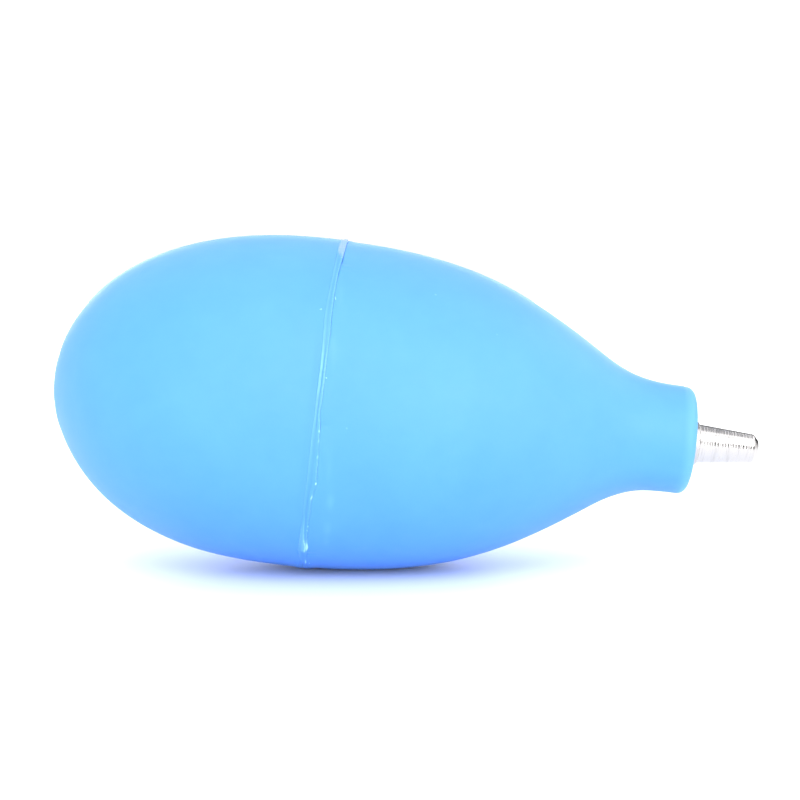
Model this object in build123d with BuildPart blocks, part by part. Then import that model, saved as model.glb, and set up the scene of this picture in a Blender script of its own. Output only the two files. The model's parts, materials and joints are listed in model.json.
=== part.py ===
from build123d import *
from math import sin, cos, tan, radians
import os

# Hand-squeezed rubber bulb with a tapered metal nozzle, lying on its side.
#
# Frame: +Z up, the bulb rests on Z = 0 and the nozzle points along +X, tipped
# slightly down, as the bulb lies when it is put down.  The origin is the bottom
# centre of the whole object's box.  All lengths are in millimetres.
#
# Every turned or moulded profile is drawn in one sketch plane whose local x is
# the distance s along the bulb's own axis, measured from its rear pole, and
# whose local y is the radius r.

# ------------------------------------------------------------------ dimensions
tilt = 5.4                # deg, the bulb's axis dips toward the nozzle
bulb_length = 86.8        # rear pole to the neck's end face
seam_s = 37.0             # where the cemented seam crosses the axis
seam_tilt = 1.7           # deg, the seam plane leans this much off square
glue_gap = 0.05           # room between the rear shell and what it is glued to
rest_flat = 0.13          # the soft wall gives this much where the bulb lies

# outer wall of the rear shell, from the pole (s, r); slightly flattened pole
rear_outer = [
    (0.00, 0.00), (0.17, 2.75), (0.41, 4.15), (0.76, 5.48), (1.34, 6.94),
    (2.10, 8.42), (3.13, 10.10), (4.64, 12.09), (6.72, 14.25), (9.47, 16.42),
    (12.93, 18.42), (16.64, 19.97), (20.50, 21.11), (24.43, 21.89),
    (28.40, 22.36), (31.00, 22.51), (33.50, 22.57), (36.00, 22.55),
    (38.00, 22.49), (40.00, 22.39),
]
# outer wall of the front shell; it stands about 0.16 inside the rear shell
front_outer = [
    (31.50, 22.40), (34.50, 22.45), (37.50, 22.38), (41.00, 22.24),
    (44.00, 22.01), (47.00, 21.65), (50.00, 21.15), (53.00, 20.49),
    (56.00, 19.66), (59.00, 18.61), (62.00, 17.34), (65.00, 15.85),
    (68.00, 14.15), (71.00, 12.31), (73.50, 10.71), (75.50, 9.47),
    (77.50, 8.49), (79.25, 7.88), (81.00, 7.53), (83.00, 7.37),
    (85.00, 7.34), (86.80, 7.35),
]
# the air space inside: a flat pad at the rear for the valve, then the wall
pad_s = 5.3               # inner face of the rear pad
pad_r = 8.4               # radius of the pad
cavity_rear = [
    (pad_s, pad_r), (5.95, 9.95), (7.15, 11.65), (9.05, 13.55), (11.55, 15.25),
    (14.50, 16.78), (18.00, 18.12), (21.80, 19.12), (25.80, 19.80),
    (29.00, 20.08), (32.00, 20.22), (35.00, 20.25), (37.50, 20.20),
    (40.00, 20.10),
]
cavity_front = [
    (31.50, 20.21), (34.00, 20.25), (36.00, 20.24), (38.50, 20.16),
    (42.00, 19.94),
    (46.00, 19.49), (50.00, 18.80), (54.00, 17.83), (58.00, 16.55),
    (62.00, 14.92), (66.00, 12.78), (69.50, 10.48), (72.20, 8.15),
    (74.00, 5.75), (74.80, 3.40),
]
neck_edge_r = 1.1         # rounded rim of the neck

# lap joint at the seam: the front shell's inner lip slides into the rear shell
lap_length = 3.0
lap_r = 21.32             # parting cylinder in mid wall

# bead of cement squeezed out along the seam
bead_width = 0.75
bead_behind = 0.60        # how much of the bead lies behind the seam plane
bead_depth = 0.30
bead_proud = 0.10

# nozzle: one turned piece, barbed shank, small collar, tapered tip
nozzle_drop = 0.50        # the neck's hole sits this far below the axis
nozzle_in = 74.2          # s of the shank's inner end
nozzle_tip = 96.3         # s of the tip
nozzle_bore_r = 0.80
shank_r = 2.75
barb_r = 3.15
barb_count = 3
barb_pitch = 3.2
collar_r = 2.95
collar_len = 1.40
taper_r0 = 2.62           # taper radius at the collar
taper_r1 = 1.93           # taper radius just before the tip's chamfer
tip_chamfer = 0.68

# inlet valve pressed into the rear pad from inside
valve_in = 0.70           # recess of the valve's outer end in the rubber
valve_end = 9.40          # inner end of the valve body
valve_r = 3.30
valve_barb_r = 3.75
valve_flange_r = 5.00
valve_flange = 0.80
inlet_r = 1.10
chamber_r = 2.40
seat_s = 3.30             # s of the valve seat's rim
seat_r0, seat_r1 = 1.25, 1.70
disc_r = 2.00
disc_t = 0.90
disc_gap = 0.02           # the disc lies on the seat with this running gap
lift = 0.80               # travel of the disc
spring_wire_r = 0.13
spring_r = 1.45
spring_turns = 4.0
retainer_t = 1.00
retainer_hole_r = 0.50

os.makedirs("parts", exist_ok=True)

# ------------------------------------------------------------------- placement
ct, st = cos(radians(tilt)), sin(radians(tilt))
axis_dir = Vector(ct, 0, -st)     # along the bulb, toward the nozzle
up_dir = Vector(st, 0, ct)        # square to it, upward


def lowest_of(table, steps=400):
    """Lowest point below the axis origin of a wall turned about the axis."""
    with BuildLine() as wall:
        Spline(*table)
    edge = wall.edges()[0]
    pts = [edge.position_at(i / steps) for i in range(steps + 1)]
    return max((p.X * st + p.Y * ct, p.X) for p in pts)


# the floor touches the front shell where its wall is level; the bulb's own
# weight flattens it there a little, so the axis lies lower by that much
depth, rest_s = lowest_of([p for p in front_outer if p[0] >= seam_s])

# the box's two ends along X: the lower rear of the dome and the nozzle's tip
with BuildLine() as dome:
    Spline(*rear_outer, tangents=[(0, 1), (1, -0.04)])
dome_edge = dome.edges()[0]
x_rear = min(
    p.X * ct - p.Y * st
    for p in [dome_edge.position_at(i / 800) for i in range(801)]
)
x_front = (
    nozzle_tip * ct
    - nozzle_drop * st
    + (taper_r1 - tip_chamfer) * st
)
x_chamfer = (
    (nozzle_tip - tip_chamfer) * ct - nozzle_drop * st + taper_r1 * st
)
x_front = max(x_front, x_chamfer)

depth -= rest_flat
pole = Vector(-(x_rear + x_front) / 2, 0, depth)    # the rear pole, s = 0
profile = Plane(origin=pole, x_dir=axis_dir, z_dir=(0, -1, 0))
bulb_axis = Axis(pole, axis_dir)

nozzle_origin = pole - up_dir * nozzle_drop
nozzle_profile = Plane(origin=nozzle_origin, x_dir=axis_dir, z_dir=(0, -1, 0))
nozzle_axis = Axis(nozzle_origin, axis_dir)

# planes square to the seam, which leans a little more than the bulb's axis
lean = radians(tilt + seam_tilt)
seam_dir = Vector(cos(lean), 0, -sin(lean))
seam_point = pole + axis_dir * seam_s


def seam_plane(offset):
    """Plane parallel to the seam, moved by offset toward the nozzle."""
    return Plane(
        origin=seam_point + seam_dir * offset,
        x_dir=(0, 1, 0),
        z_dir=seam_dir,
    )


# ---------------------------------------------------------------- tool shapes
# blank of the front shell's lip, and the slightly larger socket for it
with BuildPart() as lip_blank:
    with BuildSketch(profile):
        with BuildLine():
            Polyline(
                (32.0, 0.0), (42.0, 0.0), (42.0, lap_r), (32.0, lap_r),
                close=True,
            )
        make_face()
    revolve(axis=bulb_axis)
    split(bisect_by=seam_plane(-lap_length), keep=Keep.TOP)
    split(bisect_by=seam_plane(0.5), keep=Keep.BOTTOM)

with BuildPart() as socket_ring:
    with BuildSketch(profile):
        with BuildLine():
            Polyline(
                (30.0, 18.0), (42.0, 18.0), (42.0, lap_r + glue_gap),
                (30.0, lap_r + glue_gap), close=True,
            )
        make_face()
    revolve(axis=bulb_axis)
    split(bisect_by=seam_plane(-lap_length - glue_gap), keep=Keep.TOP)

# groove for the bead of cement, as cut into either shell
with BuildPart() as groove_front:
    with BuildSketch(profile):
        with BuildLine():
            Polyline(
                (31.0, 22.40 - bead_depth), (43.0, 22.40 - bead_depth),
                (43.0, 24.0), (31.0, 24.0), close=True,
            )
        make_face()
    revolve(axis=bulb_axis)
    split(bisect_by=seam_plane(-bead_behind), keep=Keep.TOP)
    split(bisect_by=seam_plane(bead_width - bead_behind), keep=Keep.BOTTOM)

with BuildPart() as groove_rear:
    with BuildSketch(profile):
        with BuildLine():
            Polyline(
                (31.0, 22.40 - bead_depth - glue_gap),
                (43.0, 22.40 - bead_depth - glue_gap),
                (43.0, 24.0), (31.0, 24.0), close=True,
            )
        make_face()
    revolve(axis=bulb_axis)
    split(bisect_by=seam_plane(-bead_behind - glue_gap), keep=Keep.TOP)


def shank_outline():
    """Barbed shank and collar of the nozzle, from its inner end outward."""
    pts = [(nozzle_in, shank_r - 0.35), (nozzle_in + 0.35, shank_r)]
    start = nozzle_in + 1.6
    for i in range(barb_count):
        s = start + i * barb_pitch
        pts += [(s, shank_r), (s + 1.7, barb_r), (s + 2.0, barb_r),
                (s + 2.0, shank_r)]
    pts += [(bulb_length, shank_r)]
    return pts


# --------------------------------------------------------------------- nozzle
with BuildPart() as nozzle:
    with BuildSketch(nozzle_profile):
        with BuildLine():
            Polyline(
                (nozzle_in, nozzle_bore_r + 0.45),
                *shank_outline(),
                (bulb_length, collar_r),
                (bulb_length + collar_len - 0.15, collar_r),
                (bulb_length + collar_len, collar_r - 0.15),
                (bulb_length + collar_len, taper_r0),
                (nozzle_tip - tip_chamfer, taper_r1),
                (nozzle_tip, taper_r1 - tip_chamfer),
                (nozzle_tip, nozzle_bore_r),
                (nozzle_in + 0.45, nozzle_bore_r),
                close=True,
            )
        make_face()
    revolve(axis=nozzle_axis)
nozzle.part.label = "nozzle"

# ---------------------------------------------------------------- front shell
with BuildPart() as shank_tool:
    with BuildSketch(nozzle_profile):
        with BuildLine():
            Polyline(
                (nozzle_in - 3.0, 0.0), (nozzle_in - 3.0, shank_r - 0.35),
                *shank_outline(),
                (bulb_length + 2.0, shank_r), (bulb_length + 2.0, 0.0),
                close=True,
            )
        make_face()
    revolve(axis=nozzle_axis)

with BuildPart() as front_shell:
    # outer form with its thick neck
    with BuildSketch(profile):
        with BuildLine():
            wall = Spline(*front_outer[:-1], tangents=[(1, 0.03), (1, 0)])
            end = bulb_length - neck_edge_r
            neck = Line(wall @ 1, (bulb_length, front_outer[-1][1]))
            face = Line(neck @ 1, (bulb_length, 0))
            Line(face @ 1, (front_outer[0][0], 0))
            Line((front_outer[0][0], 0), wall @ 0)
        make_face()
    revolve(axis=bulb_axis)
    rim = front_shell.edges().filter_by(GeomType.CIRCLE).sort_by(
        Axis(pole, axis_dir))[-1]
    fillet(rim, radius=neck_edge_r)
    # cut square to the seam, and carry the lip back behind it
    split(bisect_by=seam_plane(0), keep=Keep.TOP)
    add(lip_blank.part)
    # air space
    with BuildSketch(profile):
        with BuildLine():
            inner = Spline(
                *cavity_front, tangents=[(1, 0.02), (0.12, -1)])
            Line(inner @ 1, ((inner @ 1).X, 0))
            Line(((inner @ 1).X, 0), (cavity_front[0][0], 0))
            Line((cavity_front[0][0], 0), inner @ 0)
        make_face()
    revolve(axis=bulb_axis, mode=Mode.SUBTRACT)
    add(groove_front.part, mode=Mode.SUBTRACT)
    add(shank_tool.part, mode=Mode.SUBTRACT)
    # flat where it lies on the floor
    split(bisect_by=Plane.XY, keep=Keep.TOP)
front_shell.part.label = "front_shell"

# ----------------------------------------------------------------- valve body
with BuildPart() as valve_body:
    with BuildSketch(profile):
        with BuildLine():
            Polyline(
                (valve_in, inlet_r + 0.9),
                (valve_in, valve_r - 0.3),
                (valve_in + 0.3, valve_r),
                (2.0, valve_r),
                (2.0, valve_barb_r),
                (2.3, valve_barb_r),
                (3.3, valve_r),
                (3.6, valve_r),
                (3.6, valve_barb_r),
                (3.9, valve_barb_r),
                (4.9, valve_r),
                (pad_s, valve_r),
                (pad_s, valve_flange_r),
                (pad_s + valve_flange, valve_flange_r),
                (pad_s + valve_flange, valve_r),
                (valve_end - 0.3, valve_r),
                (valve_end, valve_r - 0.3),
                (valve_end, chamber_r),
                (seat_s + 0.0, chamber_r),
                (seat_s - 0.5, chamber_r - 0.1),
                (seat_s - 0.5, seat_r1 + 0.15),
                (seat_s, seat_r1 - 0.1),
                (seat_s, seat_r0),
                (seat_s - 0.25, inlet_r),
                (valve_in + 0.9, inlet_r),
                close=True,
            )
        make_face()
    revolve(axis=bulb_axis)
valve_body.part.label = "valve_body"

# the hole it is pressed into: the rubber closes round its barbs
with BuildPart() as valve_tool:
    with BuildSketch(profile):
        with BuildLine():
            Polyline(
                (-1.0, 0.0), (-1.0, valve_r + 0.2),
                (valve_in - 0.1, valve_r - 0.3),
                (valve_in, valve_r - 0.3),
                (valve_in + 0.3, valve_r),
                (2.0, valve_r),
                (2.0, valve_barb_r),
                (2.3, valve_barb_r),
                (3.3, valve_r),
                (3.6, valve_r),
                (3.6, valve_barb_r),
                (3.9, valve_barb_r),
                (4.9, valve_r),
                (pad_s + 1.0, valve_r),
                (pad_s + 1.0, 0.0),
                close=True,
            )
        make_face()
    revolve(axis=bulb_axis)

# ----------------------------------------------------------------- rear shell
with BuildPart() as rear_shell:
    with BuildSketch(profile):
        with BuildLine():
            wall = Spline(*rear_outer, tangents=[(0, 1), (1, -0.04)])
            Line(wall @ 1, ((wall @ 1).X, 0))
            Line(((wall @ 1).X, 0), (0, 0))
        make_face()
    revolve(axis=bulb_axis)
    with BuildSketch(profile):
        with BuildLine():
            inner = Spline(*cavity_rear, tangents=[(0.05, 1), (1, -0.04)])
            Line(inner @ 1, ((inner @ 1).X, 0))
            Line(((inner @ 1).X, 0), (pad_s, 0))
            Line((pad_s, 0), inner @ 0)
        make_face()
    revolve(axis=bulb_axis, mode=Mode.SUBTRACT)
    split(bisect_by=seam_plane(-glue_gap), keep=Keep.BOTTOM)
    add(socket_ring.part, mode=Mode.SUBTRACT)
    add(groove_rear.part, mode=Mode.SUBTRACT)
    add(valve_tool.part, mode=Mode.SUBTRACT)
rear_shell.part.label = "rear_shell"

# ---------------------------------------------------------------- seam cement
# a thin proud bead that fills the groove; its ends are square to the seam
with BuildPart() as seam_cement:
    with BuildSketch(profile):
        with BuildLine():
            Polyline(
                (31.0, 22.40 - bead_depth), (43.0, 22.40 - bead_depth),
                (43.0, 22.50 + bead_proud), (31.0, 22.50 + bead_proud),
                close=True,
            )
        make_face()
    revolve(axis=bulb_axis)
    split(bisect_by=seam_plane(-bead_behind), keep=Keep.TOP)
    split(bisect_by=seam_plane(bead_width - bead_behind), keep=Keep.BOTTOM)
seam_cement.part.label = "seam_cement"

# ----------------------------------------------------------------- valve disc
with BuildPart() as valve_disc:
    s0 = seat_s + disc_gap
    with BuildSketch(profile):
        with BuildLine():
            Polyline(
                (s0, 0.0), (s0, disc_r - 0.15), (s0 + 0.15, disc_r),
                (s0 + disc_t - 0.15, disc_r), (s0 + disc_t, disc_r - 0.15),
                (s0 + disc_t, 0.0), close=True,
            )
        make_face()
    revolve(axis=bulb_axis)
valve_disc.part.label = "valve_disc"

# ------------------------------------------------------------- valve retainer
# perforated cap in the mouth of the chamber; a pip in its middle centres the
# spring, and four holes let the air through
with BuildPart() as valve_retainer:
    r0 = valve_end - retainer_t - 0.1
    with BuildSketch(profile):
        with BuildLine():
            Polyline(
                (r0 - 0.9, 0.0), (r0 - 0.9, 0.65), (r0 - 0.75, 0.8),
                (r0, 0.9), (r0, chamber_r), (r0 + retainer_t, chamber_r),
                (r0 + retainer_t, 0.0), close=True,
            )
        make_face()
    revolve(axis=bulb_axis)
    hole_plane = Plane(
        origin=pole + axis_dir * (r0 + retainer_t + 0.5),
        x_dir=(0, 1, 0), z_dir=axis_dir,
    )
    with BuildSketch(hole_plane):
        with PolarLocations(1.63, 4, start_angle=45):
            Circle(retainer_hole_r)
    extrude(amount=-(retainer_t + 1.0), mode=Mode.SUBTRACT)
valve_retainer.part.label = "valve_retainer"

# --------------------------------------------------------------- valve spring
# light coil between the disc's inner face and the retainer
spring_s0 = seat_s + disc_gap + disc_t + spring_wire_r + 0.03
spring_s1 = r0 - spring_wire_r - 0.005
with BuildPart() as valve_spring:
    with BuildLine():
        coil = Helix(
            pitch=(spring_s1 - spring_s0) / spring_turns,
            height=spring_s1 - spring_s0,
            radius=spring_r,
            center=pole + axis_dir * spring_s0,
            direction=axis_dir,
        )
    with BuildSketch(Plane(origin=coil @ 0, z_dir=coil % 0)):
        Circle(spring_wire_r)
    sweep(is_frenet=True)
valve_spring.part.label = "valve_spring"

# ---------------------------------------------------------------------- write
pieces = [
    front_shell, rear_shell, seam_cement, nozzle,
    valve_body, valve_disc, valve_retainer, valve_spring,
]
for piece in pieces:
    export_step(piece.part, f"parts/{piece.part.label}.step")

# figures for the record
flat = front_shell.faces().filter_by(Plane.XY).sort_by(Axis.Z)[0]
print("flat", flat.bounding_box().size, "centre", flat.center(), "z normal",
      flat.normal_at().Z)
print("pole", tuple(round(v, 4) for v in pole))
print("axis", tuple(round(v, 6) for v in axis_dir))
rest_x = pole.X + rest_s * ct - (depth + rest_flat - rest_s * st) / ct * st
print("rest s %.2f  x %.3f" % (rest_s, rest_x))
print("nozzle axis point at mid", tuple(
    round(v, 4) for v in nozzle_origin
    + axis_dir * ((nozzle_in + nozzle_tip) / 2)))
density = {"front_shell": 1200, "rear_shell": 1200, "seam_cement": 1200,
           "valve_disc": 1200, "nozzle": 2700, "valve_body": 2700,
           "valve_retainer": 2700, "valve_spring": 7850}
mass, moment = 0.0, Vector(0, 0, 0)
for piece in pieces:
    m = piece.part.volume * density[piece.part.label] * 1e-6
    c = piece.part.center(CenterOf.MASS)
    mass += m
    moment += c * m
    print("%-15s solids %d  %7.2f g" % (
        piece.part.label, len(piece.part.solids()), m))
com = moment / mass
print("mass %.2f g  centre" % mass, tuple(round(v, 3) for v in com),
      " rest point x %.3f" % rest_x)
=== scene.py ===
import json
import math

import bpy
import numpy as np
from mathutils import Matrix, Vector


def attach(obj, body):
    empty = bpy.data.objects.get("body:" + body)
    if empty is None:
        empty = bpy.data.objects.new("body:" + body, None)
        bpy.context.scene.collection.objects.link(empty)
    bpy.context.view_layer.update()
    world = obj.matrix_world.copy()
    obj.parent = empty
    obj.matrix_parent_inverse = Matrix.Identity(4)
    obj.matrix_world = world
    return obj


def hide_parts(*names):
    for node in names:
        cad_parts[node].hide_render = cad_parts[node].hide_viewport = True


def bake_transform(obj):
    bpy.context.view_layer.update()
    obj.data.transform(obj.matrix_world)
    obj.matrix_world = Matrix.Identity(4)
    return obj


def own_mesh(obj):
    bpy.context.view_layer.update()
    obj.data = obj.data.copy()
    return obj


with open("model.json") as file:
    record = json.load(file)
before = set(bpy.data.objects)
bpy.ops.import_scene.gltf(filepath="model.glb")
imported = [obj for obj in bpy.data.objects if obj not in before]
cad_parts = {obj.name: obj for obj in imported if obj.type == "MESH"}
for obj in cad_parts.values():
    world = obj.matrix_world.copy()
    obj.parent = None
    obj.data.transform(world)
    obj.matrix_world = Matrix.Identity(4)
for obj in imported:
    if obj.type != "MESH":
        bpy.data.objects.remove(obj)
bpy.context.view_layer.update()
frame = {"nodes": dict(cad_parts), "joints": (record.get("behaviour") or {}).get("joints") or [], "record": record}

# ----------------------------------------------------------------------------
# Frame: the bulb's axis, its rear pole and the nozzle's axis, all taken from the
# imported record.  Lengths below are in millimetres, and put() turns a place on
# the bulb (s along its axis, r from it, angle round it) into metres in the frame.
# ----------------------------------------------------------------------------
MM = 0.001
record = frame["record"]
mounts = {m["name"]: m for m in record["mounts"]}
axis = np.array(frame["joints"][0]["axis"], float)
axis /= np.linalg.norm(axis)
up = np.array([-axis[2], 0.0, axis[0]])
near = np.array([0.0, -1.0, 0.0])            # the side that faces the camera
bore = mounts["nozzle_bore"]
NOZZLE_TIP = 96.3
NOZZLE_DROP = 0.5
NOZZLE_HANG = 0.17       # the nozzle sits a hair lower still in the soft neck
nozzle_tip = (np.array(bore["pos_m"], float) / MM
              + axis * bore["dims"]["length_mm"] / 2)
pole = nozzle_tip - axis * NOZZLE_TIP + up * NOZZLE_DROP

SEAM_S = 37.0
SEAM_R = 22.45
SEAM_LEAN = math.tan(math.radians(1.7))
LENGTH = 86.8

REAR_OUTER = [
    (0.00, 0.00), (0.17, 2.75), (0.41, 4.15), (0.76, 5.48), (1.34, 6.94),
    (2.10, 8.42), (3.13, 10.10), (4.64, 12.09), (6.72, 14.25), (9.47, 16.42),
    (12.93, 18.42), (16.64, 19.97), (20.50, 21.11), (24.43, 21.89),
    (28.40, 22.36), (31.00, 22.51), (33.50, 22.57), (36.00, 22.55),
    (38.00, 22.49), (40.00, 22.39),
]
FRONT_OUTER = [
    (31.50, 22.40), (34.50, 22.45), (37.50, 22.38), (41.00, 22.24),
    (44.00, 22.01), (47.00, 21.67), (50.00, 21.20), (53.00, 20.57),
    (56.00, 19.77), (59.00, 18.74), (62.00, 17.47), (65.00, 15.98),
    (68.00, 14.31), (71.00, 12.48), (73.50, 10.87), (75.50, 9.61),
    (77.50, 8.61), (79.25, 7.98), (81.00, 7.61), (83.00, 7.43),
    (85.00, 7.38), (86.80, 7.38),
]
CAVITY_REAR = [
    (5.30, 8.40), (5.95, 9.95), (7.15, 11.65), (9.05, 13.55), (11.55, 15.25),
    (14.50, 16.78), (18.00, 18.12), (21.80, 19.12), (25.80, 19.80),
    (29.00, 20.08), (32.00, 20.22), (33.90, 20.25),
]
CAVITY_FRONT = [
    (34.00, 20.25), (36.00, 20.24), (38.50, 20.16), (42.00, 19.94),
    (46.00, 19.49), (50.00, 18.80), (54.00, 17.83), (58.00, 16.55),
    (62.00, 14.92), (66.00, 12.78), (69.50, 10.48), (72.20, 8.15),
    (74.00, 5.75), (74.80, 3.40),
]


def put(s, r, phi, drop=0.0):
    """Metres in the frame for points at s, r and angle phi (0 at the top, 90
    degrees toward the camera).  drop lowers the centre of the circle."""
    s, r, phi, drop = np.broadcast_arrays(
        np.asarray(s, float), np.asarray(r, float),
        np.asarray(phi, float), np.asarray(drop, float))
    p = (pole + s[..., None] * axis
         + (r * np.cos(phi) - drop)[..., None] * up
         + (r * np.sin(phi))[..., None] * near)
    return p * MM


# ------------------------------------------------------------------ small maths
def smooth(x, lo, hi):
    t = np.clip((np.asarray(x, float) - lo) / (hi - lo), 0, 1)
    return t * t * (3 - 2 * t)


def bump(x, centre, half):
    """1 at the centre, falling smoothly to 0 at half to each side."""
    t = np.clip(1 - np.abs(np.asarray(x, float) - centre) / half, 0, 1)
    return t * t * (3 - 2 * t)


def natural_spline(xs, ys, q):
    """Natural cubic spline through (xs, ys), sampled at q."""
    xs, ys, q = (np.asarray(v, float) for v in (xs, ys, q))
    n = len(xs)
    h = np.diff(xs)
    a = np.eye(n)
    b = np.zeros(n)
    for i in range(1, n - 1):
        a[i, i - 1], a[i, i], a[i, i + 1] = h[i - 1], 2 * (h[i - 1] + h[i]), h[i]
        b[i] = 6 * ((ys[i + 1] - ys[i]) / h[i] - (ys[i] - ys[i - 1]) / h[i - 1])
    m = np.linalg.solve(a, b)
    i = np.clip(np.searchsorted(xs, q) - 1, 0, n - 2)
    t0, t1 = xs[i + 1] - q, q - xs[i]
    return (m[i] * t0 ** 3 + m[i + 1] * t1 ** 3) / (6 * h[i]) \
        + (ys[i] / h[i] - m[i] * h[i] / 6) * t0 \
        + (ys[i + 1] / h[i] - m[i + 1] * h[i] / 6) * t1


def curve_of(table, n):
    """n points evenly spaced along a smooth curve through the table."""
    t = np.array(table, float)
    chord = np.concatenate([[0], np.cumsum(np.hypot(*np.diff(t, axis=0).T))])
    q = np.linspace(0, chord[-1], n)
    return np.stack([natural_spline(chord, t[:, 0], q),
                     natural_spline(chord, t[:, 1], q)], 1)


def ring_noise(phi, low, high, seed, power=0.6):
    """Smooth noise round a ring, about -1 to 1, that closes on itself."""
    rng = np.random.default_rng(seed)
    total = np.zeros_like(phi)
    norm = 0.0
    for k in range(low, high + 1):
        w = (low / k) ** power * rng.uniform(0.5, 1.0)
        total += w * np.sin(k * phi + rng.uniform(0, 2 * math.pi))
        norm += w * w / 2
    return total / math.sqrt(norm) / 1.8


rear_line = curve_of(REAR_OUTER, 2400)
front_line = curve_of(FRONT_OUTER, 2400)


def rear_r(s):
    i = rear_line[:, 0] > 2.0
    return np.interp(s, rear_line[i, 0], rear_line[i, 1])


def front_r(s):
    return np.interp(s, front_line[:, 0], front_line[:, 1])


# how far the as-moulded outside stands off the ideal turned form
def sag(s):
    """The rear dome is a touch high and the neck hangs a little low."""
    s = np.asarray(s, float)
    xs = [-1, 0, 1.2, 4.5, 7.8, 11.1, 14, 60, 64, 74, 80.4, 83.7, 86.8, 100]
    ys = [-.20, -.20, -.20, -.143, -.07, -.023, 0, 0, .04, .06, .14, .27, .36, .36]
    return np.interp(s, xs, ys)


# ----------------------------------------------------------- the seam's wander
def round_table(phi, table, extra, seed, amount):
    """A value round the ring: listed where the table reaches (degrees), seeded noise elsewhere, joined smoothly."""
    deg = np.degrees(phi) % 360
    xs = [a for a, _ in table]
    ys = [b for _, b in table]
    by_hand = np.interp(deg, xs, ys)
    noise = extra + amount * ring_noise(phi, 3, 40, seed)
    w = smooth(deg, xs[0] - 8, xs[0]) * (1 - smooth(deg, xs[-1], xs[-1] + 14))
    w = np.where(deg > 352 + xs[0], 0, w)
    return by_hand * w + noise * (1 - w)


def seam_left(phi):
    t = [(2, -.60), (8, -.66), (17, -.80), (22, -.76), (28, -.78), (39, -.88), (47, -1.03),
         (55, -1.08), (63, -.88), (72, -.76), (83, -.75), (89, -.70), (93, -.78),
         (103, -.74), (113, -.76), (118, -.82), (126, -.80), (132, -.90), (137, -1.0),
         (143, -1.0), (147, -.84), (152, -.62)]
    return round_table(phi, t, -.72, 11, .10) + .012 * ring_noise(phi, 40, 180, 12)


def seam_right(phi):
    t = [(2, .20), (7, .20), (16, .14), (25, .06), (36, -.18), (46, -.26),
         (55, -.22), (61, -.08), (71, -.06), (78, .0), (83, .0), (88, -.08),
         (90.5, .12), (93, .19), (97, .24), (101, .36), (106, .44), (110, .50),
         (112, .48), (116, .13), (123, .07), (129, .04), (140, .04), (153, .10)]
    return round_table(phi, t, -.03, 21, .14) + .022 * ring_noise(phi, 60, 240, 22)


SMEARS = [
    # (s, degrees, half width, half length in degrees, strength)
    (39.20, 118.0, 0.17, 5.2, 0.40), (38.95, 128.0, 0.16, 5.0, 0.46),
    (39.20, 138.0, 0.26, 3.0, 0.38), (38.60, 104.0, 0.40, 7.0, 0.14),
    (38.10, 46.0, 0.30, 9.0, 0.12), (37.85, 66.0, 0.35, 6.0, 0.14),
    (38.90, 196.0, 0.50, 7.0, 0.30), (39.90, 231.0, 0.30, 4.0, 0.30),
    (38.70, 305.0, 0.60, 8.0, 0.28), (40.80, 342.0, 0.30, 3.0, 0.25),
]


def by_degrees(phi, table, elsewhere=0.0, seed=None, amount=0.0):
    """A value that follows a table of (degrees, value) on the near side and a
    seeded wander on the far side."""
    deg = np.degrees(phi) % 360
    xs = [a for a, _ in table]
    near_side = np.interp(deg, xs, [b for _, b in table])
    far = elsewhere + (amount * ring_noise(phi, 4, 36, seed) if seed else 0 * phi)
    w = smooth(deg, xs[0] - 6, xs[0]) * (1 - smooth(deg, xs[-1], xs[-1] + 10))
    w = np.where((deg > 354 + xs[0]), smooth(deg, 354 + xs[0], 360 + xs[0]), w)
    return near_side * w + far * (1 - w)


def groove_open(phi):
    """How open the crack between the bead and the front shell is."""
    t = [(0, .55), (8, .60), (18, .50), (24, .7), (27, 1.15), (29, .8), (30.5, .22),
         (32, .5), (33, .2), (34.5, .45), (37, .42), (39, .16), (42, .08), (44, .06),
         (46, .30), (48, .42), (50, .18), (54, .28), (60, .22), (61.5, .35),
         (62.6, .0), (89, .0), (90, .1), (91.2, .5), (92.4, .0), (112, .0),
         (113.5, .15), (115, .0), (144.6, .0), (145.4, .6), (146.4, .1), (147.2, .5),
         (148.2, .0), (158, .05)]
    g = by_degrees(phi, t, .12, 41, .26)
    return np.clip(g + .10 * ring_noise(phi, 90, 300, 42) * (g > .1), 0, 1.2)


def crease(phi):
    """The dark line between the bead's two ridges."""
    t = [(24, 0), (28, .15), (36, .25), (50, .28), (60, .22), (66, .45), (70, .75),
         (78, .8), (84, .65), (89, .75), (91, .9), (93, .25), (100, .2), (112, .25),
         (120, .45), (127, .4), (131, .1), (137, 0), (146, .3), (150, 0)]
    return np.clip(by_degrees(phi, t, .35, 43, .35), 0, 1)


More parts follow.
